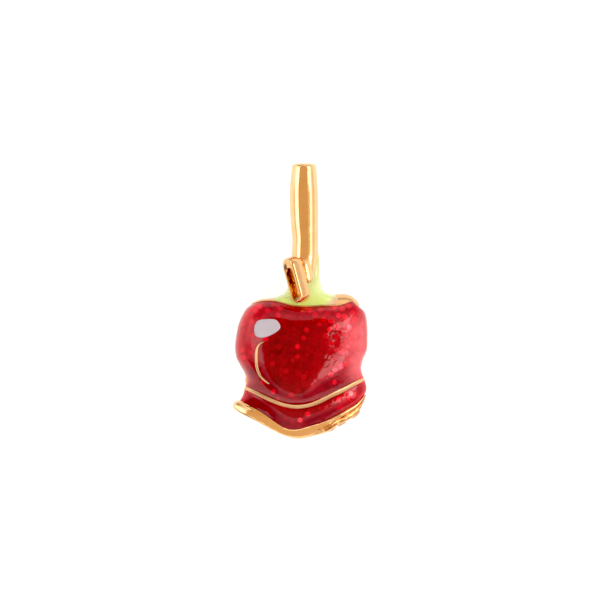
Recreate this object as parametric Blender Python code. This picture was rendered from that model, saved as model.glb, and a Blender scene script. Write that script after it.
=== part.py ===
"""Candy apple charm: a cast gold-plated relief of a candy apple on its stick, with enamel in its cells.

The charm lies on its flat back. X runs across it, Y along the stick, Z up out of its face.
Sizes are in millimetres here and become metres when a mesh is made.
"""

import math

import bmesh
import bpy
import numpy as np
from mathutils import Matrix, Vector
from mathutils.bvhtree import BVHTree

MM = 0.001

# Levels over the flat back, and how high each line of the relief stands over the side wall.
FLOOR_Z = 0.30
SIDE_Z = 0.90
BULB_RISE = 3.40
TOP_LINE_RISE = 2.15
WAVE_RISE = 1.95
RIM_RISE = 1.20
CROWN_DROP = 0.20
BAND_BULGE = 0.28
PROUD = 0.04

# The section across the relief is a superellipse with its peak a little left of the middle.
DOME_POWER = 2.3
DOME_PEAK = 0.44
BULB_POWER = 4.0
NECK_POWER = 3.0

# The enamel's depth and the hairline of clearance between it and the metal.
ENAMEL = 0.42
NECK_ENAMEL = 0.26
SPOT_ENAMEL = 0.22
GAP = 0.04
PLATE_INSET = 0.10

# Where the metal's edge shows beyond the enamel, at the apple's left waist.
WAIST, WAIST_SPAN, WAIST_LEDGE = (-4.30, -6.35), 0.50, 0.22

# Where the pieces of the casting end inside each other, so that no two of their faces lie in one plane.
CORE_END = 0.03
CORE_FLOOR, RIM_FLOOR, CROWN_FLOOR, NECK_FLOOR, NECK_CORE_FLOOR = 0.40, 0.15, 0.24, 0.20, 0.82
CUT_TOP = 6.0

# Widths of the gold lines between the cells.
WAVE_WIDTH = 0.26
TOP_LINE_WIDTH = 0.14
ARC_WIDTH = 0.28

# The apple's outline in plan, each list from its foot upwards.
LEFT_SIDE = [(-4.42, -6.94), (-4.28, -6.40), (-4.44, -5.80), (-4.84, -5.08), (-5.12, -4.50), (-5.22, -3.70),
             (-5.14, -2.86), (-4.90, -1.75), (-4.40, -0.72), (-3.86, -0.22)]
RIGHT_SIDE = [(5.16, -6.24), (5.00, -5.80), (4.92, -5.30), (5.10, -4.62), (5.38, -3.90), (5.43, -3.00),
              (5.40, -1.80), (5.22, -0.92), (4.72, -0.46)]
BAND_LEFT = [(-4.80, -7.96), (-4.60, -7.60), (-4.48, -7.20), (-4.42, -6.94)]
BAND_RIGHT = [(5.20, -7.50), (5.33, -7.08), (5.29, -6.64), (5.16, -6.24)]

# The gold lines, each from left to right.
TOP_LINE = [(-3.86, -0.22), (-3.30, -0.05), (-2.60, 0.02), (-1.80, -0.06), (-0.56, -0.38), (0.50, -0.44),
            (1.94, -0.37), (2.90, -0.37), (3.55, -0.22), (4.10, -0.02), (4.42, -0.18), (4.72, -0.46)]
WAVE = [(-4.42, -6.94), (-3.34, -7.44), (-2.30, -7.92), (-1.35, -8.28), (-0.38, -8.44), (0.60, -8.34),
        (1.54, -8.04), (2.74, -7.46), (3.70, -7.00), (4.50, -6.56), (5.16, -6.24)]
RIM_INSIDE = [(-4.80, -7.96), (-4.10, -8.36), (-3.00, -8.98), (-1.90, -9.76), (-1.10, -10.22), (-0.30, -10.30),
              (0.60, -10.08), (2.02, -9.64), (2.92, -9.18), (3.80, -8.66), (4.60, -8.18), (5.20, -7.50)]
RIM_OUTSIDE = [(-5.00, -8.86), (-4.30, -9.26), (-3.30, -9.76), (-2.30, -10.30), (-1.20, -10.82), (-0.10, -11.06),
               (1.28, -10.82), (2.24, -10.50), (3.10, -9.96), (4.10, -9.44), (4.74, -8.84), (5.10, -8.16),
               (5.32, -7.56)]
RIM_TIP = [(-5.00, -8.86), (-5.30, -8.64), (-5.38, -8.38), (-5.28, -8.12), (-5.06, -8.00), (-4.80, -7.96)]
RIM_END = [(5.32, -7.56), (5.20, -7.50)]
CROWN = [(-3.80, -0.14), (-3.16, 0.15), (-2.36, 0.24), (-1.40, 0.40), (0.60, 0.50), (2.30, 0.48), (3.20, 0.58),
         (3.80, 0.54), (4.24, 0.34), (4.60, 0.00), (4.80, -0.36)]
ARC = [(-2.86, -3.24), (-3.22, -3.48), (-3.42, -3.90), (-3.47, -4.60), (-3.40, -5.36), (-3.10, -6.04),
       (-2.46, -6.62)]
SPOT = [(-3.62, -1.96), (-3.34, -1.56), (-2.66, -1.45), (-1.98, -1.48), (-1.62, -1.84), (-1.60, -2.18),
        (-1.90, -2.48), (-2.50, -2.80), (-3.10, -2.93), (-3.54, -2.78), (-3.66, -2.40)]

# The stick's section along Y: height along it, left edge, right edge, front.
STICK = [(-0.20, -0.60, 1.20, 1.80), (1.20, -0.66, 1.24, 1.90), (1.66, -0.70, 1.29, 2.14), (2.34, -0.70, 1.34, 2.20),
         (3.30, -0.67, 1.42, 2.20), (3.80, -0.66, 1.47, 2.20), (5.00, -0.62, 1.47, 2.20), (6.10, -0.73, 1.48, 2.20),
         (7.60, -0.81, 1.48, 2.20), (9.00, -0.81, 1.44, 2.20), (11.02, -0.66, 1.32, 2.16)]
STICK_BACK_Z = 0.04
STICK_END_ROUND = 0.34

# The enamelled neck that climbs the stick's right side, in the same form as the stick.
NECK = [(-0.70, -2.80, 3.40, 3.06), (-0.10, -2.80, 3.40, 3.06), (0.20, -2.36, 3.30, 3.04), (0.44, -1.62, 2.85, 2.98),
        (0.68, -1.24, 2.16, 2.88), (0.92, -1.08, 1.84, 2.72), (1.16, -1.00, 1.74, 2.52), (1.40, -0.92, 1.67, 2.32),
        (1.58, -0.60, 1.64, 2.10), (1.88, 0.00, 1.62, 1.88), (2.34, 0.30, 1.61, 1.78), (2.84, 0.50, 1.60, 1.68),
        (3.30, 0.70, 1.58, 1.36), (3.78, 0.90, 1.51, 1.10)]
NECK_ROWS, NECK_EDGE = 20, 0.03

# The stem lug: an oval block at the stick's foot, open in its left face.
LUG_LENGTH, LUG_WIDTH, LUG_DEPTH, LUG_EDGE, LUG_ROOT = 3.36, 1.30, 0.94, 0.12, 0.90
LUG_FACE = (-0.69, 1.44, 2.84)
LUG_TURN, LUG_LEAN, LUG_TILT = math.radians(56), math.radians(14), math.radians(12)
RECESS_LENGTH, RECESS_WIDTH, RECESS_DEPTH = 2.76, 0.74, 0.65
WEB_CENTRE, WEB_RADII, WEB_LEAN = (0.62, 2.40, 2.12), (0.38, 0.90, 0.36), math.radians(14)

# Lumps of metal under the right end of the rim: centre, half length, half width.
RIM_LUMPS = [((2.50, -10.16, 0.95), 0.46, 0.26), ((3.34, -9.68, 0.95), 0.60, 0.24), ((4.28, -9.08, 0.95), 0.62, 0.28)]
RIM_LUMP_HEIGHT, RIM_LUMP_LEAN = 0.62, math.radians(34)

GOLD = ("gold", (0.83, 0.52, 0.24), 1.0, 0.22)
RED = ("red_enamel", (0.42, 0.0, 0.012), 0.0, 0.12)
GREEN = ("green_enamel", (0.70, 0.80, 0.16), 0.0, 0.15)
WHITE = ("white_enamel", (0.62, 0.54, 0.58), 0.0, 0.15)


def line(points):
    """The smooth curve through the points, as a function of the share of its length. It is a Catmull-Rom spline."""
    p = np.array(points, float)
    p = np.vstack([2 * p[0] - p[1], p, 2 * p[-1] - p[-2]])
    t = np.linspace(0, 1, 12, endpoint=False)[:, None]
    runs = [
        0.5 * (2 * b + (c - a) * t + (2 * a - 5 * b + 4 * c - d) * t**2 + (3 * b - a - 3 * c + d) * t**3)
        for a, b, c, d in zip(p, p[1:], p[2:], p[3:])
    ]
    dense = np.vstack([*runs, p[-2]])
    length = np.concatenate([[0], np.cumsum(np.linalg.norm(np.diff(dense, axis=0), axis=1))])
    return lambda s: np.stack([np.interp(s, length / length[-1], column) for column in dense.T], axis=-1)


def edge_spaced(count):
    """Shares from 0 to 1, closer together at both ends as on a semicircle."""
    return (1 - np.cos(np.pi * np.linspace(0, 1, count))) / 2


def patch(foot, head, left, right):
    """Plan places between four lines (a Coons patch): foot and head run to the right, the sides run up."""
    f, h, l, r = line(foot), line(head), line(left), line(right)

    def at(u, v):
        a, b = u[..., None], v[..., None]
        corners = (1 - a) * (1 - b) * f(0.0) + a * (1 - b) * f(1.0) + (1 - a) * b * h(0.0) + a * b * h(1.0)
        return (1 - b) * f(u) + b * h(u) + (1 - a) * l(v) + a * r(v) - corners

    return at


# The two enamelled fields of the apple, and how finely their faces are divided.
BULB = patch(WAVE, TOP_LINE, LEFT_SIDE, RIGHT_SIDE)
BAND = patch(RIM_INSIDE, WAVE, BAND_LEFT, BAND_RIGHT)
ACROSS = edge_spaced(31)
BULB_ROWS, BAND_ROWS = 15, 7


def dome(u):
    """Height across the body as a share of its ridge."""
    away = np.where(u < DOME_PEAK, (DOME_PEAK - u) / DOME_PEAK, (u - DOME_PEAK) / (1 - DOME_PEAK))
    return (1 - np.clip(away, 0, 1) ** DOME_POWER) ** (1 / DOME_POWER)


def bulb_rise(v):
    """The bulb's ridge from the wave line to the top line: a pillow, nearly flat in the middle."""
    edge = WAVE_RISE + (TOP_LINE_RISE - WAVE_RISE) * v
    return edge + (BULB_RISE - edge) * (1 - np.abs(2 * v - 1) ** BULB_POWER)


def band_rise(v):
    """The lower band's ridge from the rim to the wave line: a shallow roll."""
    return RIM_RISE + (WAVE_RISE - RIM_RISE) * v + BAND_BULGE * (1 - (2 * v - 1) ** 2)


def relief(plan, rise, u, v, depth=0.0):
    """The relief's face over a patch, or a face at a depth under it."""
    width = np.linalg.norm(plan(u * 0 + 1, v) - plan(u * 0, v), axis=-1)
    inset = depth / width
    place = plan(inset + (1 - 2 * inset) * u, v)
    level = SIDE_Z + dome(u) * (rise(v) - depth)
    return np.concatenate([place, level[..., None]], axis=-1)


def field(foot, head, foot_clear, head_clear, rows):
    """The u and v of a sheet that stops a given distance short of the line at its foot and at its head."""
    u = np.repeat(ACROSS[None, :], rows, axis=0)
    height = np.linalg.norm(line(head)(ACROSS) - line(foot)(ACROSS), axis=-1)
    low, high = foot_clear / height, 1 - head_clear / height
    return u, low + (high - low) * np.linspace(0, 1, rows)[:, None]


def link(name, points, faces):
    """A mesh object from points in millimetres, its faces made triangles that face out."""
    mesh = bpy.data.meshes.new(name)
    mesh.from_pydata((np.asarray(points, float) * MM).tolist(), [], faces)
    bm = bmesh.new()
    bm.from_mesh(mesh)
    bmesh.ops.triangulate(bm, faces=bm.faces)
    bmesh.ops.recalc_face_normals(bm, faces=bm.faces)
    bm.to_mesh(mesh)
    bm.free()
    obj = bpy.data.objects.new(name, mesh)
    bpy.context.scene.collection.objects.link(obj)
    return obj


def shell(name, top, under):
    """A closed solid between two grids of points that match."""
    rows, columns = top.shape[:2]
    count = rows * columns
    index = np.arange(count).reshape(rows, columns)
    quads = np.stack([index[:-1, :-1], index[:-1, 1:], index[1:, 1:], index[1:, :-1]], axis=-1).reshape(-1, 4)
    rim = np.concatenate([index[0, :-1], index[:-1, -1], index[-1, :0:-1], index[:0:-1, 0]])
    after = np.roll(rim, -1)
    walls = np.stack([after, rim, rim + count, after + count], axis=-1)
    faces = np.vstack([quads, quads[:, ::-1] + count, walls])
    return link(name, np.vstack([top.reshape(-1, 3), under.reshape(-1, 3)]), faces.tolist())


def block(name, top, floor=FLOOR_Z):
    """A closed solid from a grid of points straight down to a flat floor."""
    under = top.copy()
    under[..., 2] = floor
    return shell(name, top, under)


def rings(name, loops):
    """A closed solid through rings of as many points each, capped at both ends."""
    count = len(loops[0])
    last = (len(loops) - 1) * count
    faces = [list(range(count))[::-1], [last + i for i in range(count)]]
    for start in range(0, last, count):
        for i in range(count):
            j = (i + 1) % count
            faces.append([start + i, start + j, start + count + j, start + count + i])
    return link(name, np.vstack(loops), faces)


def slab(name, outline, low, high):
    """A closed upright prism on an outline."""
    return rings(name, [np.column_stack([outline, np.full(len(outline), z)]) for z in (low, high)])


def ribbon(name, course, width, levels, top=None):
    """A wall along a course of plan points, its crest at each level or its top flat."""
    along = np.gradient(course, axis=0)
    along /= np.linalg.norm(along, axis=1, keepdims=True)
    side = np.stack([-along[:, 1], along[:, 0]], axis=1) * np.reshape(width, (-1, 1)) / 2
    rows = []
    for share, drop in ((-1, 0.05), (-0.55, 0.0), (0.55, 0.0), (1, 0.05)):
        level = levels - drop if top is None else np.full(len(course), top)
        rows.append(np.column_stack([course + side * share, level]))
    return block(name, np.array(rows))


def boolean(obj, operation, tools):
    """Joins the tools to the object or cuts them from it, applies the result and removes them."""
    collection = bpy.data.collections.new("tools")
    bpy.context.scene.collection.children.link(collection)
    for tool in tools:
        bpy.context.scene.collection.objects.unlink(tool)
        collection.objects.link(tool)
    modifier = obj.modifiers.new(operation.lower(), "BOOLEAN")
    modifier.operation = operation
    modifier.operand_type = "COLLECTION"
    modifier.collection = collection
    bpy.context.view_layer.update()
    made = bpy.data.meshes.new_from_object(obj.evaluated_get(bpy.context.evaluated_depsgraph_get()))
    obj.modifiers.clear()
    obj.data = made
    for tool in tools:
        bpy.data.objects.remove(tool)
    bpy.data.collections.remove(collection)
    return obj


def flatten(obj, bend=math.radians(0.6), shortest=0.0005):
    """Joins faces that lie in one plane again after a Boolean, and closes its shortest edges."""
    bm = bmesh.new()
    bm.from_mesh(obj.data)
    bmesh.ops.dissolve_degenerate(bm, edges=bm.edges, dist=shortest * MM)
    bmesh.ops.dissolve_limit(bm, angle_limit=bend, verts=bm.verts, edges=bm.edges)
    bmesh.ops.triangulate(bm, faces=bm.faces)
    bm.to_mesh(obj.data)
    bm.free()


def finish(obj, material, edge=math.radians(40)):
    """Names the mesh, shades it smooth over soft bends and gives it its material."""
    name, colour, metallic, roughness = material
    shader = bpy.data.materials.get(name) or bpy.data.materials.new(name)
    shader.use_nodes = True
    principled = shader.node_tree.nodes["Principled BSDF"]
    principled.inputs["Base Color"].default_value = (*colour, 1)
    principled.inputs["Metallic"].default_value = metallic
    principled.inputs["Roughness"].default_value = roughness
    obj.data.name = obj.name
    obj.data.materials.clear()
    obj.data.materials.append(shader)
    obj.data.shade_smooth()
    obj.data.set_sharp_from_angle(angle=edge)


def drape(places):
    """The level of the bulb's face over plan points, found by dropping a ray on it."""
    u, v = np.meshgrid(edge_spaced(61), np.linspace(0, 1, 41))
    face = relief(BULB, bulb_rise, u, v)
    index = np.arange(face.shape[0] * face.shape[1]).reshape(face.shape[:2])
    quads = np.stack([index[:-1, :-1], index[:-1, 1:], index[1:, 1:], index[1:, :-1]], axis=-1).reshape(-1, 4)
    tree = BVHTree.FromPolygons(face.reshape(-1, 3).tolist(), quads.tolist())
    return np.array([tree.ray_cast(Vector((x, y, 9)), Vector((0, 0, -1)))[0].z for x, y in places])


def plate():
    """The flat back, a little inside the apple's outline."""
    around = [(RIM_OUTSIDE, 24), (RIM_END, 2), (BAND_RIGHT, 4), (RIGHT_SIDE, 14), (CROWN[::-1], 18),
              (LEFT_SIDE[::-1], 14), (BAND_LEFT[::-1], 4), (RIM_TIP[::-1], 6)]
    ring = np.vstack([line(points)(np.linspace(0, 1, count))[:-1] for points, count in around])
    away = ring - ring.mean(axis=0)
    at_waist = np.exp(-(((ring - WAIST) / WAIST_SPAN) ** 2).sum(axis=1, keepdims=True))
    ring -= away * (PLATE_INSET - WAIST_LEDGE * at_waist) / np.linalg.norm(away, axis=1, keepdims=True)
    return slab("plate", ring, 0.0, SIDE_Z - GAP)


def bulb_core():
    """The metal under the upper sheet of enamel."""
    u, v = field(WAVE, TOP_LINE, CORE_END, CORE_END, BULB_ROWS)
    return block("bulb_core", relief(BULB, bulb_rise, u, v, ENAMEL + GAP), CORE_FLOOR)


def band_core():
    """The metal under the lower sheet of enamel. Its foot runs a little way into the rim."""
    u, v = field(RIM_INSIDE, WAVE, -CORE_END, CORE_END, BAND_ROWS)
    return block("band_core", relief(BAND, band_rise, u, v, ENAMEL + GAP), CORE_FLOOR)


def gold_line(name, points, width, rise, grow=0.0, top=None):
    """A gold line that crosses the relief from side to side."""
    return ribbon(name, line(points)(ACROSS), width + 2 * grow, SIDE_Z + dome(ACROSS) * rise + PROUD, top)


def arc(grow=0.0, top=None):
    """The gold arc set in the bulb like a drawn highlight, thinning to both ends."""
    share = np.linspace(0, 1, 15)
    course = line(ARC)(share)
    for end, before in ((0, 1), (-1, -2)):
        away = course[end] - course[before]
        course[end] += away * grow / np.linalg.norm(away)
    width = ARC_WIDTH * (0.35 + 0.65 * np.sin(np.pi * share) ** 0.6) + 2 * grow
    return ribbon("arc", course, width, drape(course) + PROUD, top)


def rim():
    """The broad gold lip along the foot: nearly level, rounded down at its outer edge and its left tip."""
    share = np.array([0, 0.06, 0.16, 0.32, 0.52, 0.76, 1.0])
    u, v = np.meshgrid(edge_spaced(35), share)
    inside = SIDE_Z + dome(u) ** 0.7 * RIM_RISE + PROUD
    outer = 0.45
    level = outer + (inside - outer) * (1 - (1 - v) ** 6) ** (1 / 3)
    place = patch(RIM_OUTSIDE, RIM_INSIDE, RIM_TIP, RIM_END)(u, v)
    return block("rim", np.concatenate([place, level[..., None]], axis=-1), RIM_FLOOR)


def crown(grow=0.0):
    """The bare metal shoulders over the top line."""
    u, v = np.meshgrid(ACROSS, np.array([0, 0.3, 0.55, 0.75, 0.9, 1.0]))
    foot = [(x - CORE_END, y - CORE_END) for x, y in TOP_LINE]
    place = patch(foot, CROWN, [foot[0], CROWN[0]], [foot[-1], CROWN[-1]])(u, v)
    level = SIDE_Z + dome(u) * (TOP_LINE_RISE - CROWN_DROP) * (1 - v**3) ** (1 / 3) + grow
    return block("crown", np.concatenate([place, level[..., None]], axis=-1), CROWN_FLOOR)


def ellipsoid(name, centre, radii, turn, grow=0.0):
    """A smooth lump, turned about Z."""
    bm = bmesh.new()
    bmesh.ops.create_icosphere(bm, subdivisions=2, radius=1)
    size = Matrix.Diagonal([(r + grow) * MM for r in radii]).to_4x4()
    bm.transform(Matrix.Translation(Vector(centre) * MM) @ Matrix.Rotation(turn, 4, "Z") @ size)
    mesh = bpy.data.meshes.new(name)
    bm.to_mesh(mesh)
    bm.free()
    obj = bpy.data.objects.new(name, mesh)
    bpy.context.scene.collection.objects.link(obj)
    return obj


def section(y, left, right, front, back, sides, power=2.0):
    """A ring across the stick: a superellipse between the given edges."""
    angle = 2 * np.pi * np.arange(sides) / sides
    c, s = np.cos(angle), np.sin(angle)
    x = (left + right) / 2 + (right - left) / 2 * np.sign(c) * np.abs(c) ** (2 / power)
    z = (front + back) / 2 + (front - back) / 2 * np.sign(s) * np.abs(s) ** (2 / power)
    return np.column_stack([x, np.full(sides, y), z])


def stick(grow=0.0, sides=28):
    """The round stick, flat at its free end with a softened edge."""
    loops = [
        section(y, left - grow, right + grow, front + grow, STICK_BACK_Z - grow, sides)
        for y, left, right, front in line(STICK[:-1] + [(STICK[-1][0] - STICK_END_ROUND, *STICK[-1][1:])])(
            np.linspace(0, 1, 16)
        )
    ]
    _, left, right, front = STICK[-1]
    for a in np.radians([22.5, 45, 67.5, 90]):
        inset = STICK_END_ROUND * (1 - math.cos(a)) - grow
        y = STICK[-1][0] - STICK_END_ROUND * (1 - math.sin(a))
        loops.append(section(y, left + inset, right - inset, front - inset, STICK_BACK_Z + inset, sides))
    return rings("stick", loops)


def neck(depth=0.0, floor=SIDE_Z, sides=15):
    """The flare between the shoulders and the stick's right side, or a face at a depth under it."""
    loops = []
    for y, left, right, front in line(NECK)(np.linspace(0, 1, NECK_ROWS)):
        middle, half = (left + right) / 2, max((right - left) / 2 - depth, 0.05)
        angle = np.linspace(np.pi, 0, sides)
        c, s = np.cos(angle), np.sin(angle)
        x = middle + half * np.sign(c) * np.abs(c) ** (2 / NECK_POWER)
        z = floor + (front - depth - floor) * s ** (2 / NECK_POWER)
        loops.append(np.column_stack([x, np.full(sides, y), z]))
    return rings("neck", loops)


def neck_plate():
    """The flat back under the neck, as far as its enamel reaches."""
    rows = line(NECK)(np.linspace(0, 1, NECK_ROWS))
    left = np.column_stack([rows[:, 1] + NECK_EDGE, rows[:, 0]])
    right = np.column_stack([rows[:, 2] - NECK_EDGE, rows[:, 0]])
    return slab("neck_plate", np.vstack([right, left[::-1]]), NECK_FLOOR, SIDE_Z - GAP)


def stadium(length, width, count=10):
    """An oval with straight sides, as plan points about its middle."""
    radius = width / 2
    angle = np.linspace(0, np.pi, count)
    top = np.column_stack([radius * np.cos(angle), length / 2 - radius + radius * np.sin(angle)])
    return np.vstack([top, -top])


def lug_prism(name, steps, root=0.0):
    """An oval prism square to the lug's face, then a root straight down.

    A step is a depth behind the face, a length and a width.
    """
    frame = (
        Matrix.Rotation(LUG_LEAN, 3, "Z") @ Matrix.Rotation(-LUG_TILT, 3, "X") @ Matrix.Rotation(-LUG_TURN, 3, "Y")
    )
    loops = []
    for depth, length, width in steps:
        ring = [frame @ Vector((x, y, -depth)) + Vector(LUG_FACE) for x, y in stadium(length, width)]
        loops.append(np.array(ring))
    if root:
        loops.append(loops[-1] - (0, 0, root))
    return rings(name, loops)


def lug(grow=0.0):
    """The stem lug, its face edge softened."""
    length, width, edge = LUG_LENGTH + 2 * grow, LUG_WIDTH + 2 * grow, LUG_EDGE
    return lug_prism("lug", [
        (-grow, length - 2 * edge, width - 2 * edge),
        (edge * 0.3 - grow, length - edge * 0.6, width - edge * 0.6),
        (edge - grow, length, width),
        (LUG_DEPTH + grow, length, width),
    ], LUG_ROOT)


def recess():
    """The blind hollow in the lug's face."""
    return lug_prism("recess", [
        (-0.20, RECESS_LENGTH + 0.1, RECESS_WIDTH + 0.1),
        (0.05, RECESS_LENGTH, RECESS_WIDTH),
        (RECESS_DEPTH, RECESS_LENGTH, RECESS_WIDTH),
    ])


def web(grow=0.0):
    """The lobe of metal that joins the lug to the stick's right side."""
    return ellipsoid("web", WEB_CENTRE, WEB_RADII, WEB_LEAN, grow)


def spot(name, grow, low, high):
    """The pale spot's body between two depths under the bulb's face."""
    middle = np.mean(SPOT, axis=0)
    around = line(SPOT + [SPOT[0]])(np.linspace(0, 1, 25))[:-1] - middle
    around *= 1 + grow / np.linalg.norm(around, axis=1, keepdims=True)
    loops = []
    for share, depth in ((0.35, low), (0.7, low), (1.0, low), (1.0, high + 0.03), (0.92, high), (0.6, high), (0.3, high)):
        place = middle + around * share
        loops.append(np.column_stack([place, drape(place) - depth]))
    return rings(name, loops)


def make_casting():
    """The gold casting: back, cores, lines, rim, shoulders, stick and lug, as one piece."""
    casting = plate()
    casting.name = "casting"
    pieces = [
        bulb_core(),
        band_core(),
        gold_line("wave", WAVE, WAVE_WIDTH, WAVE_RISE),
        gold_line("top_line", TOP_LINE, TOP_LINE_WIDTH, TOP_LINE_RISE),
        arc(),
        rim(),
        crown(),
        stick(),
        neck(NECK_ENAMEL + GAP, NECK_CORE_FLOOR),
        neck_plate(),
        lug(),
        web(),
    ]
    for centre, long, wide in RIM_LUMPS:
        pieces.append(ellipsoid("lump", centre, (long, wide, RIM_LUMP_HEIGHT), RIM_LUMP_LEAN))
    boolean(casting, "UNION", pieces)
    boolean(casting, "DIFFERENCE", [recess()])
    flatten(casting)
    finish(casting, GOLD)


def make_red():
    """The two sheets of red enamel, the upper one cut out for the arc and the pale spot."""
    u, v = field(WAVE, TOP_LINE, WAVE_WIDTH / 2 + GAP, CORE_END, BULB_ROWS)
    upper = shell("enamel_red_upper", relief(BULB, bulb_rise, u, v), relief(BULB, bulb_rise, u, v, ENAMEL))
    boolean(upper, "DIFFERENCE", [
        gold_line("top_line", TOP_LINE, TOP_LINE_WIDTH, TOP_LINE_RISE, GAP, CUT_TOP),
        arc(GAP, CUT_TOP),
        spot("pocket", GAP, SPOT_ENAMEL + GAP, -0.6),
    ])
    finish(upper, RED)
    u, v = field(RIM_INSIDE, WAVE, GAP, WAVE_WIDTH / 2 + GAP, BAND_ROWS)
    lower = shell("enamel_red_lower", relief(BAND, band_rise, u, v), relief(BAND, band_rise, u, v, ENAMEL))
    finish(lower, RED)


def make_green():
    """The pale green enamel round the stem, cut clear of the metal that it lies on."""
    green = neck()
    green.name = "enamel_green"
    under = line([(x, y + TOP_LINE_WIDTH / 2 + GAP) for x, y in TOP_LINE])(np.linspace(0, 1, 25))
    outline = np.vstack([under, [(6, -0.1), (6, -3), (-6, -3), (-6, -0.1)]])
    tools = [slab("below", outline, -1, CUT_TOP), crown(GAP), stick(GAP), neck(NECK_ENAMEL, NECK_CORE_FLOOR), lug(GAP), web(GAP)]
    boolean(green, "DIFFERENCE", tools)
    finish(green, GREEN)


def make_white():
    """The pale spot of enamel in its pocket, a hair proud of the red."""
    white = spot("enamel_white", 0.0, SPOT_ENAMEL, -PROUD / 2)
    finish(white, WHITE)


def centre():
    """Moves the whole so that the origin lies under the middle of its outline."""
    corners = np.array([corner[:] for obj in bpy.data.objects for corner in obj.bound_box])
    middle = (corners.min(axis=0) + corners.max(axis=0)) / 2
    for obj in bpy.data.objects:
        obj.data.transform(Matrix.Translation((-middle[0], -middle[1], 0)))


def main():
    for obj in list(bpy.data.objects):
        bpy.data.objects.remove(obj)
    make_casting()
    make_red()
    make_green()
    make_white()
    centre()


main()
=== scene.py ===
"""Candy apple charm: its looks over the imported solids, a studio round it and the camera straight above.

Shapes are worked out in millimetres, in the plan of the charm's face, and become metres when a mesh is made.
"""

import math

import bpy
import numpy as np
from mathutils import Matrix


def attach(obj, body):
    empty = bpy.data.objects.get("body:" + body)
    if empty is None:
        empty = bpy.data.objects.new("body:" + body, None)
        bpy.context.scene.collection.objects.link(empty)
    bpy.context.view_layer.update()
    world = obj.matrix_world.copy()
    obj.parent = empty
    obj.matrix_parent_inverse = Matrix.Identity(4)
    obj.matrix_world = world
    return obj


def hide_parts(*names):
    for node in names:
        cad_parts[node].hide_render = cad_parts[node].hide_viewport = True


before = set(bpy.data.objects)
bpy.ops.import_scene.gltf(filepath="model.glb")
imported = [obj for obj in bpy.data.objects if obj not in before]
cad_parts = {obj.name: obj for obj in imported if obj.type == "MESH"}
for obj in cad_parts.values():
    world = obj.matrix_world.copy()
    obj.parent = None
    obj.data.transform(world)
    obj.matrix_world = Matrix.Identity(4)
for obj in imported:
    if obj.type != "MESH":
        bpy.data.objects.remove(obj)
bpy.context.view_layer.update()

MM = 0.001
# The solids are centred on their outline, so each plan place moves by this much.
CENTRING = np.array([-0.0350, 0.0167, 0.0])

# Level of the side wall over the flat back, and how high each line of the relief stands over that.
SIDE_Z = 0.90
BULB_RISE, TOP_LINE_RISE, WAVE_RISE, RIM_RISE = 3.40, 2.15, 1.95, 1.20
BAND_BULGE, CROWN_DROP, PROUD = 0.28, 0.20, 0.04
# How full the dome is across the body and where it peaks, and how full the bulb's ridge is along it, at
# its foot too, with the share of the width over which the foot's fullness ends.
DOME_POWER, DOME_PEAK = 2.3, 0.44
BULB_POWER, BULB_FOOT_POWER, BULB_FOOT_END = 4.0, 8.0, (0.42, 0.68)
# The enamel's thickness and its gap to the metal, and the levels at which hidden parts start.
ENAMEL, GAP = 0.42, 0.04
CORE_FLOOR, RIM_FLOOR, CROWN_FLOOR, NECK_FLOOR = 0.40, 0.15, 0.24, 0.86
# The back plate lies a little inside the outline, with a ledge at the left waist. Its loops close round a
# place from which all of the outline is in view, so that they don't fold.
PLATE_INSET, PLATE_TOP, PLATE_MIDDLE = 0.10, 0.86, np.array([0.0, -7.6])
WAIST, WAIST_SPAN, WAIST_LEDGE = (-4.30, -6.35), 0.50, 0.22
# The gold lines' widths, and how far the enamel runs in under the lines and the rim.
WAVE_WIDTH, TOP_LINE_WIDTH, ARC_WIDTH = 0.26, 0.14, 0.28
LINE_TUCK, RIM_TUCK = 0.02, 0.03
# How far the arc's ridge stands out, how high its section is, and how far to the left its ridge stands.
ARC_PROUD, ARC_DROP, ARC_SKEW = 0.08, 0.15, 0.35

# The apple's outline in plan, each list from its foot upwards.
LEFT_SIDE = [(-4.42, -6.94), (-4.28, -6.40), (-4.44, -5.80), (-4.84, -5.08), (-5.12, -4.50), (-5.22, -3.70),
             (-5.14, -2.86), (-4.90, -1.75), (-4.40, -0.72), (-3.86, -0.22)]
RIGHT_SIDE = [(5.16, -6.24), (5.00, -5.80), (4.92, -5.30), (5.10, -4.62), (5.38, -3.90), (5.43, -3.00),
              (5.40, -1.80), (5.22, -0.92), (4.72, -0.46)]
BAND_LEFT = [(-4.80, -7.96), (-4.60, -7.60), (-4.48, -7.20), (-4.42, -6.94)]
BAND_RIGHT = [(5.20, -7.50), (5.33, -7.08), (5.29, -6.64), (5.16, -6.24)]

# The gold lines, each from left to right.
TOP_LINE = [(-3.86, -0.22), (-3.30, -0.05), (-2.60, 0.02), (-1.80, -0.06), (-0.56, -0.38), (0.50, -0.44),
            (1.94, -0.37), (2.90, -0.37), (3.55, -0.22), (4.10, -0.02), (4.42, -0.18), (4.72, -0.46)]
WAVE = [(-4.42, -6.94), (-3.34, -7.44), (-2.30, -7.92), (-1.35, -8.28), (-0.38, -8.44), (0.60, -8.34),
        (1.54, -8.04), (2.74, -7.46), (3.70, -7.00), (4.50, -6.56), (5.16, -6.24)]
RIM_INSIDE = [(-4.80, -7.96), (-4.10, -8.36), (-3.00, -8.98), (-1.90, -9.76), (-1.10, -10.22),
              (-0.30, -10.30), (0.60, -10.08), (2.02, -9.64), (2.92, -9.18), (3.80, -8.66), (4.60, -8.18),
              (5.20, -7.50)]
RIM_OUTSIDE = [(-5.00, -8.86), (-4.30, -9.26), (-3.30, -9.76), (-2.30, -10.30), (-1.20, -10.82),
               (-0.10, -11.06), (1.28, -10.82), (2.24, -10.50), (3.10, -9.96), (4.10, -9.44), (4.74, -8.84),
               (5.10, -8.16), (5.32, -7.56)]
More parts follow.
